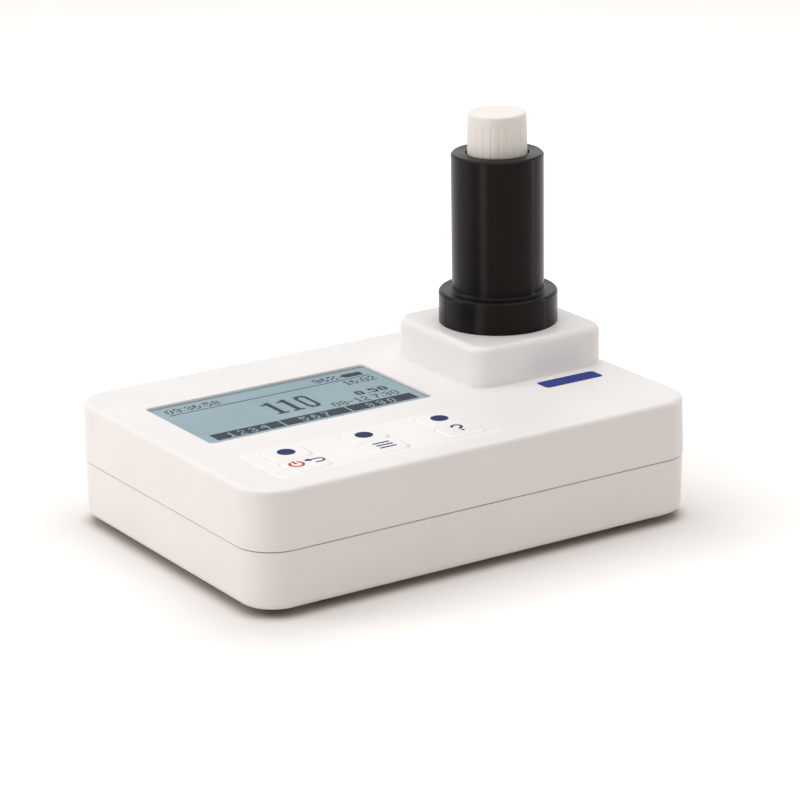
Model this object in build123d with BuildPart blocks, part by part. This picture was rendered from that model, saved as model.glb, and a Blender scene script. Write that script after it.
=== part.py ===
from build123d import *
from math import atan, cos, degrees, radians, sin
import os

os.makedirs("parts", exist_ok=True)

# A portable bench photometer, in millimetres. The origin is on the table, under the middle of the case.
# +X runs along the long side to the right, +Y to the back and +Z up.

# Case
case_length = 142.5
case_width = 102.5
case_corner = 11.0
case_draft = 1.0
case_wall = 2.4
lower_height = 16.7
upper_height = 16.5
roof_thickness = 2.2
floor_thickness = 2.4
top_round = 1.5
bottom_round = 2.3
seam_step = 0.2
seam_gap = 0.35
foot_height = 2.0

# Turret that carries the sample well
turret_inset = 24.05
turret_y = 11.3
turret_size = 44.4
turret_corner = 6.0
turret_height = 11.5
turret_roof = 2.4
turret_wall = 2.4
turret_round = 2.0

# Sample well and the adapter that stands in it
well_offset_y = 0.4
well_radius = 12.6
spigot_clearance = 0.3
flange_radius = 17.05
flange_height = 9.3
tube_radius = 13.17
tube_height = 39.9
tube_chamfer = 0.5
flange_round = 0.9
tube_foot_round = 0.8
vial_clearance = 0.4
mouth_radius = 9.1
mouth_to_cap_foot = 1.7
adapter_floor = 1.2
adapter_lift = 0.3
light_window_radius = 3.5
index_mark_width = 0.35
index_mark_depth = 0.08
index_mark_margin = 1.1
index_mark_angles = (50.0, 173.8, 283.0)

# Vial with its screw cap
vial_radius = 8.0
vial_wall = 1.0
vial_bottom_round = 3.0
vial_seat_gap = 0.05
neck_radius = 6.9
neck_wall = 1.2
neck_length = 12.3
vial_length = 97.35
thread_radius = 7.3
thread_height = 1.1
thread_pitch = 3.0
thread_turns = 3
cap_bore_clearance = 0.25
cap_top_radius = 8.28
cap_foot_radius = 8.62
cap_height = 14.6
cap_roof = 1.5
cap_edge_round = 0.8
cap_flutes = 24
cap_flute_radius = 1.2
cap_flute_depth = 0.13
cap_flute_run_out = 0.5
gate_ring_radius = 1.9
gate_ring_slope = 0.6
gate_ring_depth = 0.08
cap_band = 2.5
liner_thickness = 1.2
liquid_height = 36.0
liquid_gap = 0.05

# Display
window_y = 10.87
opening_inset = 12.02
opening_to_turret = 13.13
opening_width = 36.7
opening_corner = 1.4
opening_edge_round = 0.25
window_recess = 0.35
window_thickness = 0.5
display_air_gap = 0.1
display_lip = 0.75
display_glass_margin = 1.1
display_glass_thickness = 2.2
display_frame_wall = 1.6
fit_gap = 0.2

# Keypad
panel_shift = 0.18
panel_y = -31.75
panel_overhang = 0.15
panel_width = 23.9
panel_corner = 3.0
panel_proud = 0.3
panel_sink = 0.9
panel_slope = 0.65
panel_edge_round = 0.9
panel_fit = 0.05
key_length = 12.5
key_width = 9.3
key_corner = 2.4
key_end_margin = 5.15
key_pitch_y = 9.9
key_rows_y = -32.1
key_proud = 0.37
key_slope = 0.75
key_edge_round = 1.0
key_gap = 0.1
key_travel = 0.5
key_lip = 1.0
key_lip_thickness = 1.0
key_lip_gap = 0.05
key_stem_radius = 1.8
switch_size = 6.0
switch_height = 2.0
switch_plunger_radius = 1.5
switch_plunger_height = 0.5

# Label plate on the roof, left without words
label_shift = 4.2
label_y = -17.5
label_length = 19.4
label_width = 5.65
label_corner = 1.2
label_thickness = 0.35
label_proud = 0.05

# Screw bosses, screws and feet
boss_radius = 3.5
boss_inset_x = 8.75
boss_inset_y = 8.25
screw_radius = 1.45
screw_hole_clearance = 0.05
screw_hole_run_on = 1.0
screw_pass_clearance = 0.2
screw_bite = 8.0
screw_head_radius = 2.7
screw_head_height = 1.8
screw_head_sink = 1.0
screw_slot = 0.6
small_screw_radius = 1.0
small_screw_head_radius = 1.9
small_screw_head_height = 1.2
small_screw_bite = 3.6
foot_radius = 5.0
foot_sink = 0.6
foot_round = 0.5
foot_inset_x = 23.0
foot_inset_y = 10.5

# Boards
board_inset = 7.25
board_to_block = 8.2
board_width = 76.4
board_y = -1.0
board_thickness = 1.6
board_drop = 5.2
board_post_radius = 2.2
board_post_front_y = -36.0
board_rear_post_inset = 4.9
processor_size = 14.0
processor_thickness = 1.4
processor_inset = 14.0
processor_y = 4.0
buzzer_radius = 6.0
buzzer_height = 5.0
buzzer_inset = 10.0
buzzer_y = -28.0
connector_length = 12.0
connector_width = 4.0
connector_height = 2.0
ribbon_thickness = 0.3
ribbon_width = 10.0
ribbon_rise = 2.5

# Optics under the turret
block_half_width = 17.0
block_height = 21.6
block_front_reach = 46.0
block_back_reach = 22.2
block_tube_wall = 2.9
well_floor = 1.6
seal_thickness = 1.2
beam_height = 16.0
beam_radius = 3.0
bore_radius = 4.6
optics_clearance = 0.1
well_skin = 4.0
filter_thickness = 3.0
splitter_gap = 2.0
splitter_pocket = 10.0
splitter_thickness = 1.0
splitter_length = 12.4
lens_thickness = 2.5
lens_crown = 0.9
lamp_radius = 2.5
lamp_length = 8.3
lamp_holder_length = 6.0
detector_length = 5.0
optics_board_thickness = 1.6
optics_board_width = 26.0
side_board_width = 12.0
side_board_height = 17.0
side_board_thickness = 1.2
lug_reach = 3.7
lug_offset = 10.0
lug_width = 7.0
lug_thickness = 3.0
lug_boss_height = 6.0

# Battery bay under the case
cell_radius = 7.1
cell_length = 50.0
cell_count = 3
cell_pitch = 14.9
cell_nub_radius = 2.7
cell_nub_length = 1.0
cell_gap = 0.3
bay_inset = 41.25
bay_wall = 1.6
bay_end_room = 2.2
bay_side_room = 0.4
cover_plate = 1.4
cover_plug = 0.8
cover_fit = 0.3
cover_side_lip = 2.2
cover_end_lip = 9.0
cover_corner = 3.0
cover_screw_inset = 4.2
contact_thickness = 0.4
contact_width = 10.0
contact_height = 9.0
contact_tab_width = 3.0
gasket_width = 1.1
gasket_depth = 0.8
gasket_fit = 0.05

# Places along the case: the turret keeps to the right end, and the display, the keys, the board and the
# cells keep to the left end
left_end = -case_length / 2
turret_x = case_length / 2 - turret_inset
opening_left = left_end + opening_inset
opening_right = turret_x - turret_size / 2 - opening_to_turret
opening_length = opening_right - opening_left
window_x = opening_left + opening_length / 2
panel_x = window_x + panel_shift
panel_length = opening_length + 2 * panel_overhang
key_pitch_x = (panel_length - key_length) / 2 - key_end_margin
label_x = turret_x + label_shift
board_left = left_end + board_inset
board_right = turret_x - block_half_width - board_to_block
board_length = board_right - board_left
board_x = board_left + board_length / 2
processor_place = (board_right - processor_inset, processor_y)
buzzer_place = (board_right - buzzer_inset, buzzer_y)
bay_x = left_end + bay_inset

# Levels worked out from the sizes above
glass_length = opening_length + 2 * display_glass_margin
glass_width = opening_width + 2 * display_glass_margin
case_base = foot_height
split_z = case_base + lower_height
case_top = split_z + upper_height
roof_under = case_top - roof_thickness
floor_top = case_base + floor_thickness
turret_top = case_top + turret_height
turret_roof_under = turret_top - turret_roof
lower_rim = split_z - seam_gap
well_x = turret_x
well_y = turret_y + well_offset_y
board_top = roof_under - board_drop
board_under = board_top - board_thickness
panel_top = case_top + panel_proud
boss_x = case_length / 2 - boss_inset_x
boss_y = case_width / 2 - boss_inset_y
boss_places = [(sx * boss_x, sy * boss_y) for sx in (-1, 1) for sy in (-1, 1)]
case_upright = Plane.XY.offset(split_z)
frame_length = glass_length + 2 * (fit_gap + display_frame_wall)
frame_width = glass_width + 2 * (fit_gap + display_frame_wall)
board_post_rear_y = window_y + frame_width / 2 + board_post_radius + fit_gap
board_post_places = [
    (panel_x - key_pitch_x / 2, board_post_front_y),
    (panel_x + key_pitch_x / 2, board_post_front_y),
    (opening_left + board_rear_post_inset, board_post_rear_y),
    (opening_right - board_rear_post_inset, board_post_rear_y),
]

# Levels of the well, the adapter and the vial
block_base = floor_top
block_top = block_base + block_height
well_bottom = block_base + well_floor
spigot_radius = well_radius - spigot_clearance
spigot_bottom = well_bottom + adapter_lift
tube_top = turret_top + flange_height + tube_height
vial_bore_radius = vial_radius + vial_clearance
vial_bottom = spigot_bottom + adapter_floor + vial_seat_gap
vial_mouth = vial_bottom + vial_length
cap_bore_radius = thread_radius + cap_bore_clearance
liner_top = vial_mouth + liner_thickness
cap_top = liner_top + cap_roof
cap_foot = cap_top - cap_height
mouth_floor = cap_foot - mouth_to_cap_foot
beam_z = beam_height

# Upper case: a drafted shell with the turret on its right half
with BuildPart() as upper_case:
    with BuildSketch(case_upright):
        RectangleRounded(case_length, case_width, case_corner)
    extrude(amount=upper_height, taper=case_draft)
    fillet(upper_case.faces().sort_by(Axis.Z)[-1].edges(), radius=top_round)
    with BuildSketch(Plane.XY.offset(roof_under)):
        with Locations((turret_x, turret_y)):
            RectangleRounded(turret_size, turret_size, turret_corner)
    extrude(amount=turret_height + roof_thickness)
    fillet(upper_case.faces().sort_by(Axis.Z)[-1].edges(), radius=turret_round)
    # Inside of the shell and of the turret
    with BuildSketch(case_upright):
        RectangleRounded(case_length - 2 * case_wall, case_width - 2 * case_wall, case_corner - case_wall)
    extrude(amount=upper_height - roof_thickness, taper=case_draft, mode=Mode.SUBTRACT)
    with BuildSketch(Plane.XY.offset(roof_under - floor_thickness)):
        with Locations((turret_x, turret_y)):
            RectangleRounded(
                turret_size - 2 * turret_wall, turret_size - 2 * turret_wall, turret_corner - turret_wall
            )
    extrude(amount=turret_roof_under - roof_under + floor_thickness, mode=Mode.SUBTRACT)
    with BuildSketch(Plane.XY.offset(turret_roof_under)):
        with Locations((well_x, well_y)):
            Circle(well_radius)
    extrude(amount=turret_roof, mode=Mode.SUBTRACT)
    # Display opening, with the rebate below it that takes the display glass
    with BuildSketch(Plane.XY.offset(roof_under)):
        with Locations((window_x, window_y)):
            RectangleRounded(opening_length, opening_width, opening_corner)
    extrude(amount=roof_thickness, mode=Mode.SUBTRACT)
    opening_edges = (
        upper_case.edges(Select.LAST)
        .filter_by_position(Axis.Z, case_top - opening_edge_round, case_top + opening_edge_round)
        .filter_by_position(Axis.X, opening_left, opening_right)
        .filter_by_position(Axis.Y, window_y - opening_width / 2, window_y + opening_width / 2)
    )
    fillet(opening_edges, radius=opening_edge_round)
    with BuildSketch(Plane.XY.offset(roof_under)):
        with Locations((window_x, window_y)):
            Rectangle(glass_length + 2 * fit_gap, glass_width + 2 * fit_gap)
    extrude(amount=roof_thickness - display_lip, mode=Mode.SUBTRACT)
    # Pocket for the keypad panel and an opening under each column of keys
    with BuildSketch(Plane.XY.offset(case_top - panel_sink)):
        with Locations((panel_x, panel_y)):
            RectangleRounded(
                panel_length + 2 * panel_fit, panel_width + 2 * panel_fit, panel_corner + panel_fit
            )
    extrude(amount=panel_sink, mode=Mode.SUBTRACT)
    with BuildSketch(Plane.XY.offset(roof_under)):
        with Locations((panel_x, key_rows_y)):
            with GridLocations(key_pitch_x, 0, 3, 1):
                RectangleRounded(
                    key_length + 2 * key_gap, key_width + key_pitch_y + 2 * key_gap, key_corner + key_gap
                )
    extrude(amount=roof_thickness, mode=Mode.SUBTRACT)
    # Shallow bed for the label plate
    with BuildSketch(Plane.XY.offset(case_top - label_thickness + label_proud)):
        with Locations((label_x, label_y)):
            RectangleRounded(label_length + fit_gap, label_width + fit_gap, label_corner)
    extrude(amount=label_thickness, mode=Mode.SUBTRACT)
    # Corner bosses and board posts hang from the roof
    with BuildSketch(case_upright):
        with Locations(*boss_places):
            Circle(boss_radius)
    extrude(amount=roof_under - split_z)
    with BuildSketch(Plane.XY.offset(board_top)):
        with Locations(*board_post_places):
            Circle(board_post_radius)
    extrude(amount=roof_under - board_top)
    with BuildSketch(case_upright):
        with Locations(*boss_places):
            Circle(screw_radius + screw_hole_clearance)
    extrude(amount=screw_bite + screw_hole_run_on, mode=Mode.SUBTRACT)
    with BuildSketch(Plane.XY.offset(board_top)):
        with Locations(*board_post_places):
            Circle(small_screw_radius + screw_hole_clearance)
    extrude(amount=small_screw_bite, mode=Mode.SUBTRACT)
upper_case.part.label = "upper_case"

# Battery bay sizes, shared by the lower case, the cover, the cells and the contacts
bay_inner_length = cell_length + 2 * bay_end_room
bay_inner_width = (cell_count - 1) * cell_pitch + 2 * (cell_radius + bay_side_room)
cell_base = case_base + cover_plate + cover_plug + cell_gap
cell_z = cell_base + cell_radius
bay_roof_under = cell_base + 2 * cell_radius + cell_gap
bay_roof_top = bay_roof_under + bay_wall
cover_length = bay_inner_length + 2 * cover_end_lip
cover_width = bay_inner_width + 2 * cover_side_lip
cover_screw_x = cover_length / 2 - cover_screw_inset
cover_screw_places = [(bay_x - cover_screw_x, 0), (bay_x + cover_screw_x, 0)]
foot_x = case_length / 2 - foot_inset_x
foot_y = case_width / 2 - foot_inset_y
tab_x = bay_inner_length / 2 - contact_thickness / 2
tab_places = [(bay_x - tab_x, cell_pitch), (bay_x + tab_x, -cell_pitch)]
block_front = well_y - block_front_reach
block_back = well_y + block_back_reach
lug_columns = (well_x - lug_offset, well_x + lug_offset)
lug_places = [(x, y) for x in lug_columns for y in (block_front - lug_reach, block_back + lug_reach)]
lug_necks = [(x, y) for x in lug_columns for y in (block_front - lug_reach / 2, block_back + lug_reach / 2)]
cover_boss_height = 7.0
case_screw_head_z = case_base + screw_head_sink

# Lower case: a drafted tray with the battery bay in its floor
with BuildPart() as lower_case:
    with BuildSketch(Plane.XY.offset(lower_rim)):
        RectangleRounded(case_length - 2 * seam_step, case_width - 2 * seam_step, case_corner - seam_step)
    extrude(amount=case_base - lower_rim, taper=case_draft)
    fillet(lower_case.faces().sort_by(Axis.Z)[0].edges(), radius=bottom_round)
    with BuildSketch(Plane.XY.offset(lower_rim)):
        RectangleRounded(case_length - 2 * case_wall, case_width - 2 * case_wall, case_corner - case_wall)
    extrude(amount=floor_top - lower_rim, taper=case_draft, mode=Mode.SUBTRACT)
    # Corner bosses, the bosses under the optics and the battery bay
    with BuildSketch(Plane.XY.offset(floor_top - floor_thickness / 2)):
        with Locations(*boss_places):
            Circle(boss_radius)
    extrude(amount=lower_rim - floor_top + floor_thickness / 2)
    with BuildSketch(Plane.XY.offset(floor_top - floor_thickness / 2)):
        with Locations(*lug_places):
            Circle(lug_width / 2)
    extrude(amount=lug_boss_height + floor_thickness / 2)
    with BuildSketch(Plane.XY.offset(floor_top - floor_thickness / 2)):
        with Locations((bay_x, 0)):
            Rectangle(bay_inner_length + 2 * bay_wall, bay_inner_width + 2 * bay_wall)
    extrude(amount=bay_roof_top - floor_top + floor_thickness / 2)
    with BuildSketch(Plane.XY.offset(floor_top - floor_thickness / 2)):
        with Locations(*cover_screw_places):
            Circle(boss_radius)
    extrude(amount=cover_boss_height + floor_thickness / 2)
    with BuildSketch(Plane.XY.offset(case_base)):
        with Locations((bay_x, 0)):
            Rectangle(bay_inner_length, bay_inner_width)
    extrude(amount=bay_roof_under - case_base, mode=Mode.SUBTRACT)
    with BuildSketch(Plane.XY.offset(case_base)):
        with Locations((bay_x, 0)):
            RectangleRounded(cover_length + 2 * fit_gap, cover_width + 2 * fit_gap, cover_corner + fit_gap)
    extrude(amount=cover_plate, mode=Mode.SUBTRACT)
    # Slots that let the two end contacts reach the board
    with BuildSketch(Plane.XY.offset(bay_roof_under)):
        with Locations(*tab_places):
            Rectangle(4 * contact_thickness, contact_tab_width + 2 * fit_gap)
    extrude(amount=bay_wall, mode=Mode.SUBTRACT)
    # Screw holes, head pockets and beds for the feet
    with BuildSketch(Plane.XY.offset(case_base)):
        with Locations(*boss_places):
            Circle(screw_radius + screw_pass_clearance)
    extrude(amount=lower_rim - case_base, mode=Mode.SUBTRACT)
    with BuildSketch(Plane.XY.offset(case_base)):
        with Locations(*boss_places):
            Circle(screw_head_radius + screw_pass_clearance)
    extrude(amount=screw_head_sink + screw_head_height, mode=Mode.SUBTRACT)
    with BuildSketch(Plane.XY.offset(case_base)):
        with Locations(*cover_screw_places):
            Circle(small_screw_radius + screw_hole_clearance)
    extrude(amount=cover_boss_height, mode=Mode.SUBTRACT)
    with BuildSketch(Plane.XY.offset(floor_top + lug_boss_height)):
        with Locations(*lug_places):
            Circle(screw_radius + screw_hole_clearance)
    extrude(amount=-lug_boss_height, mode=Mode.SUBTRACT)
    with BuildSketch(Plane.XY.offset(case_base)):
        with GridLocations(2 * foot_x, 2 * foot_y, 2, 2):
            Circle(foot_radius + fit_gap / 2)
    extrude(amount=foot_sink, mode=Mode.SUBTRACT)
    # Groove for the case seal, along the middle of the rim
    with BuildSketch(Plane.XY.offset(lower_rim)):
        RectangleRounded(
            case_length - case_wall + gasket_width + 2 * gasket_fit,
            case_width - case_wall + gasket_width + 2 * gasket_fit,
            case_corner - case_wall / 2 + gasket_width / 2,
        )
        RectangleRounded(
            case_length - case_wall - gasket_width - 2 * gasket_fit,
            case_width - case_wall - gasket_width - 2 * gasket_fit,
            case_corner - case_wall / 2 - gasket_width / 2,
            mode=Mode.SUBTRACT,
        )
    extrude(amount=-gasket_depth, mode=Mode.SUBTRACT)
lower_case.part.label = "lower_case"

# Case seal: a cord of rubber that closes the seam between the shells
with BuildPart() as case_seal:
    with BuildSketch(Plane.XY.offset(lower_rim - gasket_depth)):
        RectangleRounded(
            case_length - case_wall + gasket_width,
            case_width - case_wall + gasket_width,
            case_corner - case_wall / 2 + gasket_width / 2,
        )
        RectangleRounded(
            case_length - case_wall - gasket_width,
            case_width - case_wall - gasket_width,
            case_corner - case_wall / 2 - gasket_width / 2,
            mode=Mode.SUBTRACT,
        )
    extrude(amount=gasket_depth + seam_gap)
case_seal.part.label = "case_seal"

# Case screws: pan heads in the floor, shanks up into the upper bosses
with BuildPart() as case_screws:
    with BuildSketch(Plane.XY.offset(case_screw_head_z)):
        with Locations(*boss_places):
            Circle(screw_head_radius)
    extrude(amount=screw_head_height)
    with BuildSketch(Plane.XY.offset(case_screw_head_z + screw_head_height)):
        with Locations(*boss_places):
            Circle(screw_radius)
    extrude(amount=split_z + screw_bite - case_screw_head_z - screw_head_height)
    with BuildSketch(Plane.XY.offset(case_screw_head_z)):
        with Locations(*boss_places):
            Rectangle(2 * screw_radius, screw_slot)
            Rectangle(screw_slot, 2 * screw_radius)
    extrude(amount=screw_head_height / 2, mode=Mode.SUBTRACT)
case_screws.part.label = "case_screws"


def make_foot(name, x, y):
    with BuildPart() as foot:
        with BuildSketch(Plane.XY):
            with Locations((x, y)):
                Circle(foot_radius)
        extrude(amount=foot_height + foot_sink)
        fillet(foot.faces().sort_by(Axis.Z)[0].edges(), radius=foot_round)
    foot.part.label = name
    return foot


# Four round rubber feet
feet = [
    make_foot("foot_front_left", -foot_x, -foot_y),
    make_foot("foot_front_right", foot_x, -foot_y),
    make_foot("foot_rear_left", -foot_x, foot_y),
    make_foot("foot_rear_right", foot_x, foot_y),
]

# Window film on the display, inside the opening
window_under = case_top - window_recess - window_thickness
display_top = window_under - display_air_gap
with BuildPart() as display_window:
    with BuildSketch(Plane.XY.offset(window_under)):
        with Locations((window_x, window_y)):
            RectangleRounded(
                opening_length - 2 * fit_gap, opening_width - 2 * fit_gap, opening_corner - fit_gap
            )
    extrude(amount=window_thickness)
display_window.part.label = "display_window"

# Foam frame between the lip of the opening and the display glass
with BuildPart() as display_seal:
    with BuildSketch(Plane.XY.offset(display_top)):
        with Locations((window_x, window_y)):
            Rectangle(glass_length, glass_width)
            RectangleRounded(opening_length, opening_width, opening_corner, mode=Mode.SUBTRACT)
    extrude(amount=case_top - display_lip - display_top)
display_seal.part.label = "display_seal"

# Display glass, its backlight and the frame that holds both on the board
glass_under = display_top - display_glass_thickness
with BuildPart() as display_glass:
    with BuildSketch(Plane.XY.offset(glass_under)):
        with Locations((window_x, window_y)):
            Rectangle(glass_length, glass_width)
    extrude(amount=display_glass_thickness)
display_glass.part.label = "display_glass"

with BuildPart() as display_backlight:
    with BuildSketch(Plane.XY.offset(board_top)):
        with Locations((window_x, window_y)):
            Rectangle(glass_length, glass_width)
    extrude(amount=glass_under - board_top)
display_backlight.part.label = "display_backlight"

with BuildPart() as display_frame:
    with BuildSketch(Plane.XY.offset(board_top)):
        with Locations((window_x, window_y)):
            Rectangle(frame_length, frame_width)
            Rectangle(glass_length + 2 * fit_gap, glass_width + 2 * fit_gap, mode=Mode.SUBTRACT)
    extrude(amount=roof_under - board_top)
display_frame.part.label = "display_frame"

# Keypad panel: a raised plate with gently sloping sides and one opening for each key
with BuildPart() as keypad_panel:
    with BuildSketch(Plane.XY.offset(case_top - panel_sink)):
        with Locations((panel_x, panel_y)):
            RectangleRounded(panel_length, panel_width, panel_corner)
    extrude(amount=panel_sink)
    with BuildSketch(Plane.XY.offset(case_top)):
        with Locations((panel_x, panel_y)):
            RectangleRounded(panel_length, panel_width, panel_corner)
    with BuildSketch(Plane.XY.offset(panel_top)):
        with Locations((panel_x, panel_y)):
            RectangleRounded(
                panel_length - 2 * panel_slope, panel_width - 2 * panel_slope, panel_corner - panel_slope
            )
    loft(ruled=True)
    fillet(keypad_panel.faces().sort_by(Axis.Z)[-1].edges(), radius=panel_edge_round)
    with BuildSketch(Plane.XY.offset(case_top - panel_sink)):
        with Locations((panel_x, key_rows_y)):
            with GridLocations(key_pitch_x, key_pitch_y, 3, 2):
                RectangleRounded(key_length + 2 * key_gap, key_width + 2 * key_gap, key_corner + key_gap)
    extrude(amount=panel_sink + panel_proud, mode=Mode.SUBTRACT)
keypad_panel.part.label = "keypad_panel"

# Keys: each has a cap with gently sloping sides, side lips that hold it under the roof and a stem over its
# switch
lip_top = roof_under - key_lip_gap
stem_bottom = board_top + switch_height + key_travel + key_lip_gap
key_top = panel_top + key_proud


def make_key(name, column, row):
    x = panel_x + column * key_pitch_x
    y = key_rows_y + row * key_pitch_y / 2
    with BuildPart() as key:
        with BuildSketch(Plane.XY.offset(lip_top - key_lip_thickness)):
            with Locations((x, y)):
                RectangleRounded(key_length, key_width, key_corner)
        extrude(amount=panel_top - lip_top + key_lip_thickness)
        with BuildSketch(Plane.XY.offset(panel_top)):
            with Locations((x, y)):
                RectangleRounded(key_length, key_width, key_corner)
        with BuildSketch(Plane.XY.offset(key_top)):
            with Locations((x, y)):
                RectangleRounded(key_length - 2 * key_slope, key_width - 2 * key_slope, key_corner - key_slope)
        loft(ruled=True)
        fillet(key.faces().sort_by(Axis.Z)[-1].edges(), radius=key_edge_round)
        with BuildSketch(Plane.XY.offset(lip_top - key_lip_thickness)):
            with Locations((x, y)):
                Rectangle(key_length + 2 * key_lip, key_width - 2 * key_corner)
        extrude(amount=key_lip_thickness)
        with BuildSketch(Plane.XY.offset(stem_bottom)):
            with Locations((x, y)):
                Circle(key_stem_radius)
        extrude(amount=lip_top - key_lip_thickness - stem_bottom)
    key.part.label = name
    return key


keys = [
    make_key("soft_key_left", -1, 1),
    make_key("soft_key_centre", 0, 1),
    make_key("soft_key_right", 1, 1),
    make_key("power_key", -1, -1),
    make_key("menu_key", 0, -1),
    make_key("help_key", 1, -1),
]

# Switches on the board, one under each key
with BuildPart() as key_switches:
    with BuildSketch(Plane.XY.offset(board_top)):
        with Locations((panel_x, key_rows_y)):
            with GridLocations(key_pitch_x, key_pitch_y, 3, 2):
                Rectangle(switch_size, switch_size)
    extrude(amount=switch_height - switch_plunger_height)
    with BuildSketch(Plane.XY.offset(board_top + switch_height - switch_plunger_height)):
        with Locations((panel_x, key_rows_y)):
            with GridLocations(key_pitch_x, key_pitch_y, 3, 2):
                Circle(switch_plunger_radius)
    extrude(amount=switch_plunger_height)
key_switches.part.label = "key_switches"

# Label plate
with BuildPart() as label_plate:
    with BuildSketch(Plane.XY.offset(case_top + label_proud - label_thickness)):
        with Locations((label_x, label_y)):
            RectangleRounded(label_length, label_width, label_corner)
    extrude(amount=label_thickness)
label_plate.part.label = "label_plate"

# Main board with its screws and larger parts
with BuildPart() as main_board:
    with BuildSketch(Plane.XY.offset(board_under)):
        with Locations((board_x, board_y)):
            Rectangle(board_length, board_width)
        with Locations(*board_post_places):
            Circle(small_screw_radius + screw_pass_clearance, mode=Mode.SUBTRACT)
    extrude(amount=board_thickness)
main_board.part.label = "main_board"

with BuildPart() as board_screws:
    with BuildSketch(Plane.XY.offset(board_under - small_screw_head_height)):
        with Locations(*board_post_places):
            Circle(small_screw_head_radius)
    extrude(amount=small_screw_head_height)
    with BuildSketch(Plane.XY.offset(board_under)):
        with Locations(*board_post_places):
            Circle(small_screw_radius)
    extrude(amount=board_thickness + small_screw_bite - fit_gap)
board_screws.part.label = "board_screws"

with BuildPart() as processor:
    with BuildSketch(Plane.XY.offset(board_under - processor_thickness)):
        with Locations(processor_place):
            Rectangle(processor_size, processor_size)
    extrude(amount=processor_thickness)
    chamfer(processor.edges().filter_by(Axis.Z), length=processor_thickness / 2)
processor.part.label = "processor"

with BuildPart() as buzzer:
    with BuildSketch(Plane.XY.offset(board_under - buzzer_height)):
        with Locations(buzzer_place):
            Circle(buzzer_radius)
    extrude(amount=buzzer_height)
    with BuildSketch(Plane.XY.offset(board_under - buzzer_height)):
        with Locations(buzzer_place):
            Circle(buzzer_radius / 4)
    extrude(amount=buzzer_height / 2, mode=Mode.SUBTRACT)
buzzer.part.label = "buzzer"

# Optical block: a black moulding with the sample well and a light path along Y
front_bore_end = well_y - well_radius - well_skin
back_bore_end = well_y + well_radius + well_skin
filter_front = front_bore_end - filter_thickness
pocket_back = filter_front - splitter_gap
pocket_y = pocket_back - splitter_pocket / 2
lens_back = pocket_back - splitter_pocket - splitter_gap
lens_front = lens_back - lens_thickness
block_tube_top = turret_roof_under - seal_thickness
block_tube_radius = well_radius + block_tube_wall
optics_board_back = well_y - block_tube_radius - fit_gap
optics_board_front = block_front - side_board_thickness
optics_board_y = (optics_board_front + optics_board_back) / 2
optics_board_length = optics_board_back - optics_board_front
optics_screw_offset = optics_board_width / 2 - 2 * small_screw_radius
optics_screw_y = block_front + splitter_gap + small_screw_head_radius
optics_screw_places = [(well_x + sx * optics_screw_offset, optics_screw_y) for sx in (-1, 1)]
front_plane = Plane.XZ.offset(-block_front)
back_plane = Plane.XZ.offset(-block_back)
optic_radius = bore_radius - optics_clearance

with BuildPart() as optical_block:
    with BuildSketch(Plane.XY.offset(block_base)):
        with Locations((well_x, (block_front + block_back) / 2)):
            Rectangle(2 * block_half_width, block_back - block_front)
    extrude(amount=block_height)
    with BuildSketch(Plane.XY.offset(block_base)):
        with Locations((well_x, well_y)):
            Circle(block_tube_radius)
    extrude(amount=block_tube_top - block_base)
    with BuildSketch(Plane.XY.offset(floor_top + lug_boss_height)):
        with Locations(*lug_places):
            Circle(lug_width / 2)
        with Locations(*lug_necks):
            Rectangle(lug_width, lug_reach)
    extrude(amount=lug_thickness)
    with BuildSketch(Plane.XY.offset(floor_top + lug_boss_height)):
        with Locations(*lug_places):
            Circle(screw_radius + screw_pass_clearance)
    extrude(amount=lug_thickness, mode=Mode.SUBTRACT)
    with BuildSketch(Plane.XY.offset(well_bottom)):
        with Locations((well_x, well_y)):
            Circle(well_radius)
    extrude(amount=block_tube_top - well_bottom, mode=Mode.SUBTRACT)
    # Light path, with wider bores for the lamp side and the detector side
    with BuildSketch(front_plane):
        with Locations((well_x, beam_z)):
            Circle(beam_radius)
    extrude(amount=block_front - back_bore_end, mode=Mode.SUBTRACT)
    with BuildSketch(front_plane):
        with Locations((well_x, beam_z)):
            Circle(bore_radius)
    extrude(amount=block_front - front_bore_end, mode=Mode.SUBTRACT)
    with BuildSketch(back_plane):
        with Locations((well_x, beam_z)):
            Circle(bore_radius)
    extrude(amount=block_back - back_bore_end, mode=Mode.SUBTRACT)
    # Pocket for the beam splitter, open at the top, and a side bore for the reference detector
    with BuildSketch(Plane.XY.offset(beam_z - splitter_pocket / 2)):
        with Locations((well_x, pocket_y)):
            Rectangle(splitter_pocket, splitter_pocket)
    extrude(amount=block_top - beam_z + splitter_pocket / 2, mode=Mode.SUBTRACT)
    with BuildSketch(Plane.YZ.offset(well_x)):
        with Locations((pocket_y, beam_z)):
            Circle(bore_radius)
    extrude(amount=block_half_width, mode=Mode.SUBTRACT)
    with BuildSketch(Plane.XY.offset(block_top)):
        with Locations(*optics_screw_places):
            Circle(small_screw_radius + screw_hole_clearance)
    extrude(amount=-small_screw_bite, mode=Mode.SUBTRACT)
optical_block.part.label = "optical_block"

with BuildPart() as block_screws:
    with BuildSketch(Plane.XY.offset(floor_top + lug_boss_height + lug_thickness)):
        with Locations(*lug_places):
            Circle(screw_head_radius)
    extrude(amount=screw_head_height)
    with BuildSketch(Plane.XY.offset(floor_top + fit_gap)):
        with Locations(*lug_places):
            Circle(screw_radius)
    extrude(amount=lug_boss_height + lug_thickness - fit_gap)
    with BuildSketch(Plane.XY.offset(floor_top + lug_boss_height + lug_thickness + screw_head_height)):
        with Locations(*lug_places):
            Rectangle(2 * screw_radius, screw_slot)
            Rectangle(screw_slot, 2 * screw_radius)
    extrude(amount=-screw_head_height / 2, mode=Mode.SUBTRACT)
block_screws.part.label = "block_screws"

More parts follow.
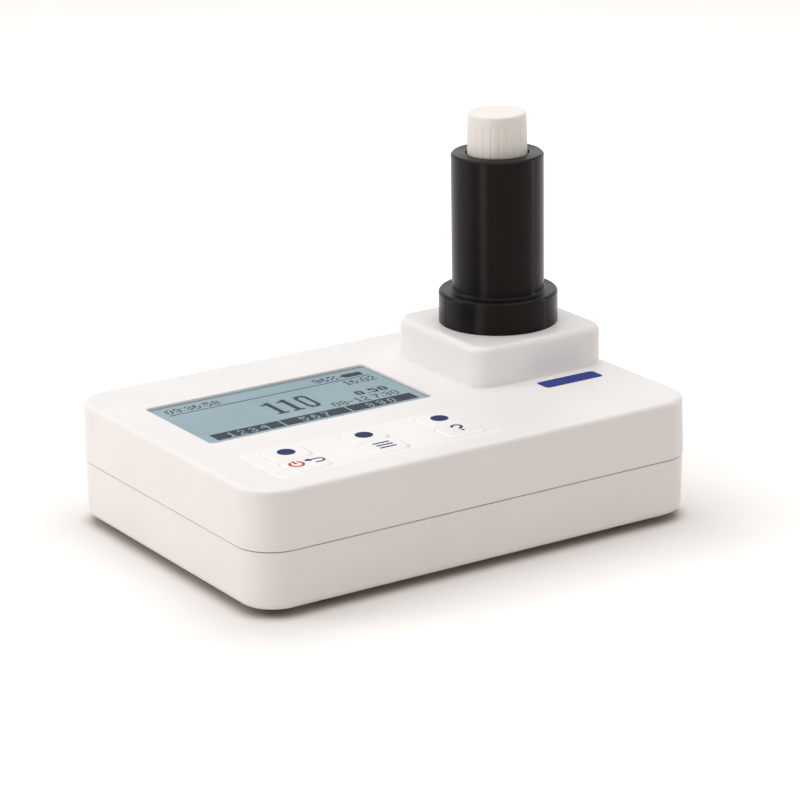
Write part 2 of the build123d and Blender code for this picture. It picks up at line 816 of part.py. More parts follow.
# Ring that seals the well against stray light under the turret roof
with BuildPart() as well_seal:
    with BuildSketch(Plane.XY.offset(block_tube_top)):
        with Locations((well_x, well_y)):
            Circle(block_tube_radius)
            Circle(well_radius, mode=Mode.SUBTRACT)
    extrude(amount=seal_thickness)
well_seal.part.label = "well_seal"

# Lamp side: a narrow-band filter, a beam splitter, a lens and the lamp in its holder
with BuildPart() as interference_filter:
    with BuildSketch(Plane.XZ.offset(-filter_front)):
        with Locations((well_x, beam_z)):
            Circle(optic_radius)
    extrude(amount=-filter_thickness)
interference_filter.part.label = "interference_filter"

splitter_plane = Plane(
    origin=(well_x, pocket_y, beam_z - splitter_pocket / 2), x_dir=(1, 1, 0), z_dir=(0, 0, 1)
)
with BuildPart() as beam_splitter:
    with BuildSketch(splitter_plane):
        Rectangle(splitter_length, splitter_thickness)
    extrude(amount=splitter_pocket)
beam_splitter.part.label = "beam_splitter"

lens_plane = Plane(origin=(well_x, lens_front, beam_z), x_dir=(1, 0, 0), z_dir=(0, 0, 1))
lens_edge = lens_thickness - lens_crown
with BuildPart() as lens:
    with BuildSketch(lens_plane):
        with BuildLine():
            Polyline((0, lens_thickness), (0, 0), (optic_radius, 0), (optic_radius, lens_edge))
            TangentArc((0, lens_thickness), (optic_radius, lens_edge), tangent=(1, 0))
        make_face()
    revolve(axis=Axis((well_x, 0, beam_z), (0, 1, 0)))
lens.part.label = "lens"

with BuildPart() as lamp:
    with BuildSketch(front_plane):
        with Locations((well_x, beam_z)):
            Circle(lamp_radius)
    extrude(amount=-lamp_length)
    fillet(lamp.faces().sort_by(Axis.Y)[-1].edges(), radius=lamp_radius * 0.96)
lamp.part.label = "lamp"

with BuildPart() as lamp_holder:
    with BuildSketch(front_plane):
        with Locations((well_x, beam_z)):
            Circle(optic_radius)
            Circle(lamp_radius + optics_clearance, mode=Mode.SUBTRACT)
    extrude(amount=-lamp_holder_length)
lamp_holder.part.label = "lamp_holder"

# Detectors, each a round can, and the small boards they are soldered to
with BuildPart() as sample_detector:
    with BuildSketch(back_plane):
        with Locations((well_x, beam_z)):
            Circle(optic_radius)
    extrude(amount=detector_length)
sample_detector.part.label = "sample_detector"

reference_plane = Plane.YZ.offset(well_x + block_half_width)
with BuildPart() as reference_detector:
    with BuildSketch(reference_plane):
        with Locations((pocket_y, beam_z)):
            Circle(optic_radius)
    extrude(amount=-detector_length)
reference_detector.part.label = "reference_detector"

with BuildPart() as lamp_board:
    with BuildSketch(front_plane):
        with Locations((well_x, block_top - side_board_height / 2)):
            Rectangle(side_board_width, side_board_height)
    extrude(amount=side_board_thickness)
lamp_board.part.label = "lamp_board"

with BuildPart() as detector_board:
    with BuildSketch(back_plane):
        with Locations((well_x, block_top - side_board_height / 2)):
            Rectangle(side_board_width, side_board_height)
    extrude(amount=-side_board_thickness)
detector_board.part.label = "detector_board"

# Board that closes the top of the optics
with BuildPart() as optics_board:
    with BuildSketch(Plane.XY.offset(block_top)):
        with Locations((well_x, optics_board_y)):
            Rectangle(optics_board_width, optics_board_length)
        with Locations(*optics_screw_places):
            Circle(small_screw_radius + screw_pass_clearance, mode=Mode.SUBTRACT)
    extrude(amount=optics_board_thickness)
optics_board.part.label = "optics_board"

with BuildPart() as optics_screws:
    with BuildSketch(Plane.XY.offset(block_top + optics_board_thickness)):
        with Locations(*optics_screw_places):
            Circle(small_screw_head_radius)
    extrude(amount=small_screw_head_height)
    with BuildSketch(Plane.XY.offset(block_top - small_screw_bite + fit_gap)):
        with Locations(*optics_screw_places):
            Circle(small_screw_radius)
    extrude(amount=optics_board_thickness + small_screw_bite - fit_gap)
optics_screws.part.label = "optics_screws"

# Flat cables from the optics to the main board
socket_x = board_right - connector_width
optics_socket_x = well_x - optics_board_width / 2 + connector_width / 2
cable_y = optics_board_y
board_socket_top = board_top + connector_height
optics_socket_top = block_top + optics_board_thickness + connector_height
with BuildPart() as cable_sockets:
    with BuildSketch(Plane.XY.offset(board_top)):
        with Locations((socket_x, cable_y)):
            Rectangle(connector_width, connector_length)
    extrude(amount=connector_height)
    with BuildSketch(Plane.XY.offset(block_top + optics_board_thickness)):
        with Locations((optics_socket_x, cable_y)):
            Rectangle(connector_width, connector_length)
    extrude(amount=connector_height)
cable_sockets.part.label = "cable_sockets"

cable_mid_x = (socket_x + optics_socket_x) / 2
cable_mid_z = max(board_socket_top, optics_socket_top) + ribbon_rise
optics_end = (optics_socket_x, optics_socket_top)
optics_end_top = (optics_socket_x, optics_socket_top + ribbon_thickness)
board_end = (socket_x, board_socket_top)
board_end_top = (socket_x, board_socket_top + ribbon_thickness)
with BuildPart() as optics_cable:
    with BuildSketch(Plane.XZ.offset(-cable_y - ribbon_width / 2)):
        with BuildLine():
            ThreePointArc(board_end, (cable_mid_x, cable_mid_z), optics_end)
            Line(optics_end, optics_end_top)
            ThreePointArc(optics_end_top, (cable_mid_x, cable_mid_z + ribbon_thickness), board_end_top)
            Line(board_end_top, board_end)
        make_face()
    extrude(amount=ribbon_width)
optics_cable.part.label = "optics_cable"

# Second flat cable, from the detector board to a socket under the main board
detector_cable_y = block_back + side_board_thickness
detector_socket_x = board_right - connector_width / 2
detector_cable_z = (board_under + beam_z) / 2
detector_cable_height = connector_width + connector_height
with BuildPart() as detector_cable:
    with BuildSketch(Plane.XZ.offset(-detector_cable_y)):
        with Locations(((detector_socket_x + well_x) / 2, detector_cable_z)):
            Rectangle(well_x - detector_socket_x, detector_cable_height)
    extrude(amount=-ribbon_thickness)
detector_cable.part.label = "detector_cable"

with BuildPart() as detector_socket:
    with BuildSketch(Plane.XY.offset(detector_cable_z - detector_cable_height / 2)):
        with Locations((detector_socket_x, detector_cable_y - connector_width / 2)):
            Rectangle(connector_width, connector_width)
    extrude(amount=board_under - detector_cable_z + detector_cable_height / 2)
detector_socket.part.label = "detector_socket"


def make_cell(name, index):
    y = (index - (cell_count - 1) / 2) * cell_pitch
    turned = 1 if index % 2 == 0 else -1
    with BuildPart() as cell:
        with BuildSketch(Plane.YZ.offset(bay_x - cell_length / 2 + (cell_nub_length if turned < 0 else 0))):
            with Locations((y, cell_z)):
                Circle(cell_radius)
        extrude(amount=cell_length - cell_nub_length)
        with BuildSketch(Plane.YZ.offset(bay_x + turned * (cell_length / 2 - cell_nub_length))):
            with Locations((y, cell_z)):
                Circle(cell_nub_radius)
        extrude(amount=turned * cell_nub_length)
    cell.part.label = name
    return cell


# Battery cells lie along X and alternate in direction
cells = [make_cell("battery_cell_" + str(index + 1), index) for index in range(cell_count)]

# Contacts at both ends of the bay: flat plates with a bowed leaf against each cell
bay_end_x = bay_inner_length / 2
leaf_reach = bay_end_room - contact_thickness
with BuildPart() as battery_contacts:
    for side in (-1, 1):
        for index in range(cell_count):
            cell_y = (index - (cell_count - 1) / 2) * cell_pitch
            wall_x = bay_x + side * bay_end_x
            tip_x = bay_x + side * (bay_end_x - leaf_reach)
            with BuildSketch(Plane.XZ.offset(-cell_y - contact_width / 2)):
                with BuildLine():
                    Polyline(
                        (wall_x, cell_z - contact_height / 2),
                        (wall_x, cell_z + contact_height / 2),
                        (wall_x - side * contact_thickness, cell_z + contact_height / 2),
                        (tip_x - side * contact_thickness / 2, cell_z),
                        (wall_x - side * contact_thickness, cell_z - contact_height / 2),
                        close=True,
                    )
                make_face()
            extrude(amount=contact_width)
    with BuildSketch(Plane.XY.offset(cell_z)):
        with Locations(*tab_places):
            Rectangle(contact_thickness, contact_tab_width)
    extrude(amount=board_under - cell_z)
battery_contacts.part.label = "battery_contacts"

# Battery cover, its seal and its screws
with BuildPart() as battery_cover:
    with BuildSketch(Plane.XY.offset(case_base)):
        with Locations((bay_x, 0)):
            RectangleRounded(cover_length, cover_width, cover_corner)
    extrude(amount=cover_plate)
    with BuildSketch(Plane.XY.offset(case_base + cover_plate)):
        with Locations((bay_x, 0)):
            Rectangle(bay_inner_length - 2 * cover_fit, bay_inner_width - 2 * cover_fit)
    extrude(amount=cover_plug)
    with BuildSketch(Plane.XY.offset(case_base)):
        with Locations(*cover_screw_places):
            Circle(small_screw_radius + screw_pass_clearance)
    extrude(amount=cover_plate, mode=Mode.SUBTRACT)
    with BuildSketch(Plane.XY.offset(case_base)):
        with Locations(*cover_screw_places):
            Circle(small_screw_head_radius + screw_pass_clearance)
    extrude(amount=cover_plate / 2, mode=Mode.SUBTRACT)
battery_cover.part.label = "battery_cover"

with BuildPart() as battery_cover_screws:
    with BuildSketch(Plane.XY.offset(case_base)):
        with Locations(*cover_screw_places):
            Circle(small_screw_head_radius)
    extrude(amount=cover_plate / 2)
    with BuildSketch(Plane.XY.offset(case_base + cover_plate / 2)):
        with Locations(*cover_screw_places):
            Circle(small_screw_radius)
    extrude(amount=cover_boss_height - cover_plate)
battery_cover_screws.part.label = "battery_cover_screws"

# Adapter: flange and tube above the turret, spigot with light windows in the well
flange_top = turret_top + flange_height
with BuildPart() as vial_adapter:
    with BuildSketch(Plane.XY.offset(spigot_bottom)):
        with Locations((well_x, well_y)):
            Circle(spigot_radius)
    extrude(amount=turret_top - spigot_bottom)
    with BuildSketch(Plane.XY.offset(turret_top)):
        with Locations((well_x, well_y)):
            Circle(flange_radius)
    extrude(amount=flange_height)
    fillet(vial_adapter.faces().sort_by(Axis.Z)[-1].edges(), radius=flange_round)
    with BuildSketch(Plane.XY.offset(flange_top)):
        with Locations((well_x, well_y)):
            Circle(tube_radius)
    extrude(amount=tube_height)
    tube_foot = (
        vial_adapter.edges(Select.LAST)
        .filter_by(GeomType.CIRCLE)
        .filter_by_position(Axis.Z, flange_top - tube_chamfer, flange_top + tube_chamfer)
    )
    fillet(tube_foot, radius=tube_foot_round)
    chamfer(vial_adapter.faces().sort_by(Axis.Z)[-1].edges(), length=tube_chamfer)
    # Bore for the vial, with a wider mouth for the cap
    with BuildSketch(Plane.XY.offset(spigot_bottom + adapter_floor)):
        with Locations((well_x, well_y)):
            Circle(vial_bore_radius)
    extrude(amount=tube_top - spigot_bottom - adapter_floor, mode=Mode.SUBTRACT)
    with BuildSketch(Plane.XY.offset(mouth_floor)):
        with Locations((well_x, well_y)):
            Circle(mouth_radius)
    extrude(amount=tube_top - mouth_floor, mode=Mode.SUBTRACT)
    with BuildSketch(Plane.XZ.offset(-well_y - spigot_radius)):
        with Locations((well_x, beam_z)):
            Circle(light_window_radius)
    extrude(amount=2 * spigot_radius, mode=Mode.SUBTRACT)
    # Fine index marks down the side of the flange
    with BuildSketch(Plane.XY.offset(turret_top + index_mark_margin)):
        for angle in index_mark_angles:
            mark_x = well_x + flange_radius * cos(radians(angle))
            mark_y = well_y + flange_radius * sin(radians(angle))
            with Locations(Location((mark_x, mark_y), angle)):
                Rectangle(2 * index_mark_depth, index_mark_width)
    extrude(amount=flange_height - 2 * index_mark_margin, mode=Mode.SUBTRACT)
vial_adapter.part.label = "vial_adapter"

# Glass vial: a half profile turned about the well's axis
vial_plane = Plane(origin=(well_x, well_y, 0), x_dir=(1, 0, 0), z_dir=(0, -1, 0))
well_axis = Axis((well_x, well_y, 0), (0, 0, 1))
shoulder_z = vial_mouth - neck_length
shoulder_drop = vial_radius - neck_radius
inner_radius = vial_radius - vial_wall
neck_bore = neck_radius - neck_wall
with BuildPart() as vial_glass:
    with BuildSketch(vial_plane):
        with BuildLine():
            Line((0, vial_bottom), (vial_radius - vial_bottom_round, vial_bottom))
            RadiusArc(
                (vial_radius - vial_bottom_round, vial_bottom),
                (vial_radius, vial_bottom + vial_bottom_round),
                -vial_bottom_round,
            )
            Polyline(
                (vial_radius, vial_bottom + vial_bottom_round),
                (vial_radius, shoulder_z - shoulder_drop),
                (neck_radius, shoulder_z),
                (neck_radius, vial_mouth),
                (neck_bore, vial_mouth),
                (neck_bore, shoulder_z),
                (inner_radius, shoulder_z - shoulder_drop - vial_wall),
                (inner_radius, vial_bottom + vial_bottom_round),
            )
            RadiusArc(
                (inner_radius, vial_bottom + vial_bottom_round),
                (vial_radius - vial_bottom_round, vial_bottom + vial_wall),
                vial_bottom_round - vial_wall,
            )
            Line((vial_radius - vial_bottom_round, vial_bottom + vial_wall), (0, vial_bottom + vial_wall))
            Line((0, vial_bottom + vial_wall), (0, vial_bottom))
        make_face()
    revolve(axis=well_axis)
    # Rings of the screw thread on the neck
    for turn in range(thread_turns):
        ring_z = vial_mouth - thread_pitch * (turn + 1)
        with BuildSketch(Plane.XY.offset(ring_z)):
            with Locations((well_x, well_y)):
                Circle(thread_radius)
                Circle(neck_bore, mode=Mode.SUBTRACT)
        extrude(amount=thread_height)
vial_glass.part.label = "vial_glass"

# Sample in the vial
liquid_radius = inner_radius - liquid_gap
liquid_round = vial_bottom_round - vial_wall
with BuildPart() as sample_liquid:
    with BuildSketch(Plane.XY.offset(vial_bottom + vial_wall + liquid_gap)):
        with Locations((well_x, well_y)):
            Circle(liquid_radius)
    extrude(amount=liquid_height)
    fillet(sample_liquid.faces().sort_by(Axis.Z)[0].edges(), radius=liquid_round)
sample_liquid.part.label = "sample_liquid"

# Sealing disc under the cap's roof
with BuildPart() as cap_liner:
    with BuildSketch(Plane.XY.offset(vial_mouth)):
        with Locations((well_x, well_y)):
            Circle(thread_radius)
    extrude(amount=liner_thickness)
cap_liner.part.label = "cap_liner"

# Screw cap: a slightly conical cup with shallow flutes below a smooth band, and a faint ring round the
# mould's gate on its top
cap_slope = (cap_foot_radius - cap_top_radius) / cap_height
with BuildPart() as vial_cap:
    with BuildSketch(vial_plane):
        with BuildLine():
            Polyline(
                (0, cap_top),
                (gate_ring_radius - gate_ring_slope, cap_top),
                (gate_ring_radius, cap_top - gate_ring_depth),
                (gate_ring_radius + gate_ring_slope, cap_top),
                (cap_top_radius, cap_top),
                (cap_foot_radius, cap_foot),
                (cap_bore_radius, cap_foot),
                (cap_bore_radius, liner_top),
                (0, liner_top),
                (0, cap_top),
            )
        make_face()
    revolve(axis=well_axis)
    fillet(vial_cap.edges().group_by(Axis.Z)[-1].sort_by(SortBy.RADIUS)[-1], radius=cap_edge_round)
    flute_circle = cap_foot_radius + cap_slope * cap_flute_run_out + cap_flute_radius - cap_flute_depth
    with Locations((well_x, well_y, cap_foot - cap_flute_run_out)):
        with PolarLocations(flute_circle, cap_flutes):
            Cylinder(
                cap_flute_radius,
                cap_height - cap_band + cap_flute_run_out,
                rotation=(0, -degrees(atan(cap_slope)), 0),
                align=(Align.CENTER, Align.CENTER, Align.MIN),
                mode=Mode.SUBTRACT,
            )
vial_cap.part.label = "vial_cap"

pieces = [
    upper_case, lower_case, case_seal, case_screws, display_window, display_seal, display_glass,
    display_backlight, display_frame, keypad_panel, key_switches, label_plate, main_board, board_screws,
    processor, buzzer, optical_block, block_screws, well_seal, interference_filter, beam_splitter, lens,
    lamp, lamp_holder, sample_detector, reference_detector, lamp_board, detector_board, optics_board,
    optics_screws, cable_sockets, optics_cable, detector_cable, detector_socket, battery_contacts,
    battery_cover, battery_cover_screws, vial_adapter, vial_glass, sample_liquid, cap_liner, vial_cap,
]
for piece in pieces + feet + keys + cells:
    export_step(piece.part, "parts/" + piece.part.label + ".step")
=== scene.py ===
import math

import bmesh
import bpy
from mathutils import Matrix, Vector


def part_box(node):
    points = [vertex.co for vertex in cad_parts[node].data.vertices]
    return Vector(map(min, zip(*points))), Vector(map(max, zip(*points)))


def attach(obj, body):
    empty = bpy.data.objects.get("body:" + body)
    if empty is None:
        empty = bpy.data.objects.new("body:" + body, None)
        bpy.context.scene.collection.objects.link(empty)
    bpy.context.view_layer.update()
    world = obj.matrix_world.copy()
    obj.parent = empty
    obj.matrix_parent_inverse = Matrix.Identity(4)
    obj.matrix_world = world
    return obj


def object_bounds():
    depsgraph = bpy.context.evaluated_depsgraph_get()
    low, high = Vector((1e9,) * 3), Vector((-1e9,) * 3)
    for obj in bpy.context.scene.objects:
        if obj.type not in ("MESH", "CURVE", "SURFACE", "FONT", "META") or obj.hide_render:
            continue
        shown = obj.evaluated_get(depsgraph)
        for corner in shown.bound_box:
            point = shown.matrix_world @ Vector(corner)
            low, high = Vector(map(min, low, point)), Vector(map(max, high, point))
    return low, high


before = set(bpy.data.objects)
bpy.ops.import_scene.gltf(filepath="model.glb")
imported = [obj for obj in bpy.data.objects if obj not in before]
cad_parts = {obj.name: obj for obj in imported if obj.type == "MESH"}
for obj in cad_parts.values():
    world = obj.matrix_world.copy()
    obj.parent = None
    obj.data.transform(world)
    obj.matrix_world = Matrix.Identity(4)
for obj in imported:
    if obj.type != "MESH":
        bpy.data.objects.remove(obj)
cad_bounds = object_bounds()

MM = 0.001

# Camera: the view fitted to the straight edges of the case, in metres and radians
VIEW_AZIMUTH = -0.5732
VIEW_ELEVATION = 0.3134
VIEW_ROLL = -0.0157
VIEW_DISTANCE = 0.910368
VIEW_TARGET = Vector((0.005548, -0.000218, 0.03324))
VIEW_LENS_MM = 147.016
VIEW_SENSOR_MM = 36.0


def aim_camera():
    """Sets the camera at its distance from the target, with its roll and its lens."""
    azimuth, elevation = VIEW_AZIMUTH, VIEW_ELEVATION
    back = Vector(
        (
            math.sin(azimuth) * math.cos(elevation),
            -math.cos(azimuth) * math.cos(elevation),
            math.sin(elevation),
        )
    )
    level_right = Vector((math.cos(azimuth), math.sin(azimuth), 0.0))
    level_up = back.cross(level_right)
    right = math.cos(VIEW_ROLL) * level_right + math.sin(VIEW_ROLL) * level_up
    up = math.cos(VIEW_ROLL) * level_up - math.sin(VIEW_ROLL) * level_right
    camera = bpy.data.objects.new("camera", bpy.data.cameras.new("camera"))
    bpy.context.scene.collection.objects.link(camera)
    turn = Matrix((right, up, back)).transposed().to_4x4()
    camera.matrix_world = Matrix.Translation(VIEW_TARGET + back * VIEW_DISTANCE) @ turn
    camera.data.lens = VIEW_LENS_MM
    camera.data.sensor_width = VIEW_SENSOR_MM
    camera.data.clip_start = 0.01
    camera.data.clip_end = 10.0
    bpy.context.scene.camera = camera


def linear(hex_colour):
    """An sRGB hex colour as linear red, green, blue and alpha."""
    parts = [int(hex_colour[i : i + 2], 16) / 255 for i in (0, 2, 4)]
    return [p / 12.92 if p <= 0.04045 else ((p + 0.055) / 1.055) ** 2.4 for p in parts] + [1.0]


def add_node(tree, kind, inputs=None, **settings):
    """Adds one node with its settings. A value that is a socket is linked, any other is set."""
    made = tree.nodes.new(kind)
    for name, value in settings.items():
        setattr(made, name, value)
    for name, value in (inputs or {}).items():
        if isinstance(value, bpy.types.NodeSocket):
            tree.links.new(value, made.inputs[name])
        else:
            made.inputs[name].default_value = value
    return made


def start_material(name, inputs):
    """A material with one Principled shader, whose even values are set on its own sockets."""
    material = bpy.data.materials.new(name)
    material.use_nodes = True
    tree = material.node_tree
    tree.nodes.clear()
    shader = add_node(tree, "ShaderNodeBsdfPrincipled", inputs)
    output = add_node(tree, "ShaderNodeOutputMaterial")
    tree.links.new(shader.outputs["BSDF"], output.inputs["Surface"])
    return material, tree, shader


# What all plastics, metals and clear bodies share. The grains further down are drawn coarser than real
# ones, which are too fine to show
PLASTIC_IOR = 1.5
CLOUD_MM = 24.0
GLOSS_PATCH_MM = 7.0
PLASTIC_GLOSS_SPREAD = 0.04
METAL_CLOUD_MM = 3.0
METAL_GLOSS_SPREAD = 0.08
METAL_LINE_DEPTH_MM = 0.004
CLEAR_HAZE = 0.03
# Noise seldom leaves this span
NOISE_SPAN = (0.3, 0.7)
UNSTRETCHED = (1.0, 1.0, 1.0)


def object_noise(tree, size_mm, detail=2.0, stretch=UNSTRETCHED):
    """Noise over the piece's own coordinates, with features about size_mm across."""
    place = add_node(tree, "ShaderNodeTexCoord").outputs["Object"]
    if stretch != UNSTRETCHED:
        place = add_node(tree, "ShaderNodeMapping", {"Vector": place, "Scale": stretch}).outputs["Vector"]
    scale = 1.0 / (size_mm * MM)
    noise = add_node(tree, "ShaderNodeTexNoise", {"Vector": place, "Scale": scale, "Detail": detail})
    return noise.outputs["Fac"]


def shade_between(tree, shader, fac, dark, light, low=0.35, high=0.65):
    """Base colour that wanders between two near shades with fac."""
    ramp = add_node(tree, "ShaderNodeValToRGB", {"Fac": fac})
    ramp.color_ramp.elements[0].position = low
    ramp.color_ramp.elements[0].color = linear(dark)
    ramp.color_ramp.elements[1].position = high
    ramp.color_ramp.elements[1].color = linear(light)
    tree.links.new(ramp.outputs["Color"], shader.inputs["Base Color"])


def relief(tree, shader, fac, depth_mm):
    """Bump from fac, depth_mm from its lowest to its highest point."""
    bump = add_node(tree, "ShaderNodeBump", {"Height": fac, "Distance": depth_mm * MM, "Strength": 1.0})
    tree.links.new(bump.outputs["Normal"], shader.inputs["Normal"])


def gloss_between(tree, shader, fac, low, high):
    """Roughness that wanders between low and high with fac."""
    ends = {"From Min": NOISE_SPAN[0], "From Max": NOISE_SPAN[1], "To Min": low, "To Max": high}
    spread = add_node(tree, "ShaderNodeMapRange", {"Value": fac, **ends})
    tree.links.new(spread.outputs["Result"], shader.inputs["Roughness"])


def moulded_plastic(name, dark, light, roughness, grain_mm, grain_depth_mm, more_values=None):
    """Injection-moulded plastic: a faint cloud in the colour and the grain of the mould."""
    material, tree, shader = start_material(name, {"IOR": PLASTIC_IOR, **(more_values or {})})
    shade_between(tree, shader, object_noise(tree, CLOUD_MM), dark, light)
    patches = object_noise(tree, GLOSS_PATCH_MM, 3.0)
    gloss_between(tree, shader, patches, roughness - PLASTIC_GLOSS_SPREAD, roughness + PLASTIC_GLOSS_SPREAD)
    relief(tree, shader, object_noise(tree, grain_mm, 1.0), grain_depth_mm)
    return material


def worked_metal(name, dark, light, roughness, line_mm, stretch=UNSTRETCHED):
    """Plated or drawn metal with fine working lines."""
    material, tree, shader = start_material(name, {"Metallic": 1.0})
    lines = object_noise(tree, line_mm, 3.0, stretch)
    shade_between(tree, shader, object_noise(tree, METAL_CLOUD_MM), dark, light)
    gloss_between(tree, shader, lines, roughness - METAL_GLOSS_SPREAD, roughness + METAL_GLOSS_SPREAD)
    relief(tree, shader, lines, METAL_LINE_DEPTH_MM)
    return material


def clear_body(name, tint, ior, roughness, haze_mm, alpha=1.0, transmission=1.0):
    """Glass, clear plastic or liquid, with a very light haze in its gloss."""
    inputs = {"IOR": ior, "Transmission Weight": transmission, "Base Color": linear(tint), "Alpha": alpha}
    material, tree, shader = start_material(name, inputs)
    gloss_between(tree, shader, object_noise(tree, haze_mm), roughness, roughness + CLEAR_HAZE)
    return material


# Case: ABS from a spark-eroded mould, white, so it scatters a soft satin light
def white_case_abs():
    return moulded_plastic(
        "white_case_abs_moulded", "F5F3F2", "F8F6F5", roughness=0.42, grain_mm=0.35, grain_depth_mm=0.006
    )


# Keypad panel and keys: polished ABS, a touch whiter and smoother than the case
def white_key_abs():
    return moulded_plastic(
        "white_key_abs_polished", "FAF9F8", "FCFBFA", roughness=0.34, grain_mm=0.5, grain_depth_mm=0.003
    )


def across_grooves(tree):
    """The direction across the lathe's grooves, along which a turned surface spreads its highlights."""
    low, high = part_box("vial_adapter")
    axis_place = ((low[0] + high[0]) / 2, (low[1] + high[1]) / 2, 0.0)
    place = add_node(tree, "ShaderNodeTexCoord").outputs["Object"]
    outward = add_node(tree, "ShaderNodeVectorMath", {0: place, 1: axis_place}, operation="SUBTRACT")
    up_and_out = {0: (0.0, 0.0, 1.0), 1: outward.outputs["Vector"]}
    around = add_node(tree, "ShaderNodeVectorMath", up_and_out, operation="CROSS_PRODUCT")
    normal = add_node(tree, "ShaderNodeNewGeometry").outputs["Normal"]
    around_and_normal = {0: around.outputs["Vector"], 1: normal}
    across = add_node(tree, "ShaderNodeVectorMath", around_and_normal, operation="CROSS_PRODUCT")
    unit = add_node(tree, "ShaderNodeVectorMath", {0: across.outputs["Vector"]}, operation="NORMALIZE")
    return unit.outputs["Vector"]


# Adapter: black acetal turned on a lathe, with fine rings round its axis and a satin gloss, whose
# reflections carry a painted warm tint
def black_adapter_acetal():
    inputs = {
        "IOR": 1.48,
        "Specular IOR Level": 0.15,
        # Painted warm tint in the reflections, standing in for warm light on the black plastic
        "Specular Tint": (1.0, 0.92, 0.85, 1.0),
        "Anisotropic": 0.9,
    }
    material, tree, shader = start_material("black_adapter_acetal_turned", inputs)
    rings = object_noise(tree, 0.5, stretch=(0.02, 0.02, 1.0))
    shade_between(tree, shader, object_noise(tree, 6.0), "0C0A08", "100E0B")
    gloss_between(tree, shader, rings, 0.29, 0.31)
    relief(tree, shader, rings, 0.001)
    tree.links.new(across_grooves(tree), shader.inputs["Tangent"])
    return material


# Vial cap: polypropylene, milky, so light goes a little way in before it comes back
def cap_polypropylene():
    milk = {
        "Subsurface Weight": 0.15,
        "Subsurface Radius": (0.6 * MM, 0.5 * MM, 0.4 * MM),
        "Subsurface Scale": 1.0,
    }
    return moulded_plastic(
        "cap_polypropylene_moulded", "F4F0EA", "F7F4EF",
        roughness=0.40, grain_mm=0.6, grain_depth_mm=0.004, more_values=milk,
    )


# Display film: the grey-blue of a reflective liquid crystal, slightly uneven
def display_film():
    inputs = {"IOR": PLASTIC_IOR, "Specular IOR Level": 0.02, "Roughness": 0.5}
    material, tree, shader = start_material("display_film_reflective", inputs)
    shade_between(tree, shader, object_noise(tree, 30.0, 1.0), "98B1BB", "A3B9C2")
    relief(tree, shader, object_noise(tree, 0.25, 1.0), 0.001)
    return material


# Display segments: dark liquid crystal cells, blue-grey
def display_cells():
    inputs = {"IOR": PLASTIC_IOR, "Specular IOR Level": 0.02, "Roughness": 0.5}
    material, tree, shader = start_material("display_cells_dark", inputs)
    shade_between(tree, shader, object_noise(tree, 1.5), "1E2937", "25313F")
    relief(tree, shader, object_noise(tree, 0.3, 1.0), 0.001)
    return material


# Printed inks: pad-printed, thin and slightly uneven in gloss
def printed_ink(name, dark, light):
    return moulded_plastic(
        name, dark, light,
        roughness=0.55, grain_mm=0.2, grain_depth_mm=0.002, more_values={"Specular IOR Level": 0.06},
    )


# Window: cast acrylic film, polished, so the display shows through it with a faint gleam
def window_acrylic():
    return clear_body(
        "window_acrylic_polished", "F2F7F8",
        ior=1.49, roughness=0.05, haze_mm=9.0, alpha=0.03, transmission=0.0,
    )


# Seam cord: soft grey-brown elastomer, matt
def seam_elastomer():
    return moulded_plastic(
        "seam_elastomer_extruded", "877A70", "93867B", roughness=0.75, grain_mm=0.2, grain_depth_mm=0.01
    )


# Feet: grey rubber, matt and slightly dusty
def foot_rubber():
    return moulded_plastic(
        "foot_rubber_moulded", "3E3E40", "4A4A4C", roughness=0.8, grain_mm=0.3, grain_depth_mm=0.02
    )


# Foam: closed cells, black, no gloss
def foam_black():
    return moulded_plastic(
        "foam_polyurethane_black", "0E0E0F", "181819", roughness=0.9, grain_mm=0.4, grain_depth_mm=0.05
    )


# Foam round the display: closed cells, beige-grey, seen as a thin band beside the film
def foam_beige():
    return moulded_plastic(
        "foam_polyethylene_beige", "9E978A", "A8A195", roughness=0.85, grain_mm=0.4, grain_depth_mm=0.02
    )


# Optics housing: black ABS with a light-absorbing spark finish
def optics_abs():
    return moulded_plastic(
        "optics_abs_black_eroded", "0B0B0C", "121213", roughness=0.7, grain_mm=0.25, grain_depth_mm=0.02
    )


# Circuit board: glass-epoxy under green resist, with faint tracks
TRACK_PITCH_MM = 2.5


def board_resist():
    material, tree, shader = start_material("board_glass_epoxy_resist", {"IOR": 1.55, "Roughness": 0.3})
    place = add_node(tree, "ShaderNodeTexCoord").outputs["Object"]
    pattern = {"Vector": place, "Scale": 1 / (TRACK_PITCH_MM * MM)}
    tracks = add_node(tree, "ShaderNodeTexVoronoi", pattern, distance="MANHATTAN")
    shade_between(tree, shader, tracks.outputs["Distance"], "0C3A22", "15502F", 0.2, 0.5)
    relief(tree, shader, tracks.outputs["Distance"], 0.02)
    return material


# Battery sleeve: heat-shrunk film, dark with a band of bronze at one end
BRONZE_EDGE = (-20.1 * MM, -19.9 * MM)


def battery_sleeve():
    inputs = {"IOR": PLASTIC_IOR, "Roughness": 0.25}
    material, tree, shader = start_material("battery_sleeve_shrunk_film", inputs)
    place = add_node(tree, "ShaderNodeTexCoord").outputs["Object"]
    along = add_node(tree, "ShaderNodeSeparateXYZ", {"Vector": place}).outputs["X"]
    edge = {"Value": along, "From Min": BRONZE_EDGE[0], "From Max": BRONZE_EDGE[1]}
    band = add_node(tree, "ShaderNodeMapRange", edge)
    shade_between(tree, shader, band.outputs["Result"], "26262A", "8A5A2E", 0.4, 0.6)
    relief(tree, shader, object_noise(tree, 2.0), 0.01)
    return material


# Screw steel: zinc plated, slightly blue
def zinc_screw():
    return worked_metal("screw_steel_zinc_plated", "9FA2A6", "B9BBBE", roughness=0.35, line_mm=0.4)


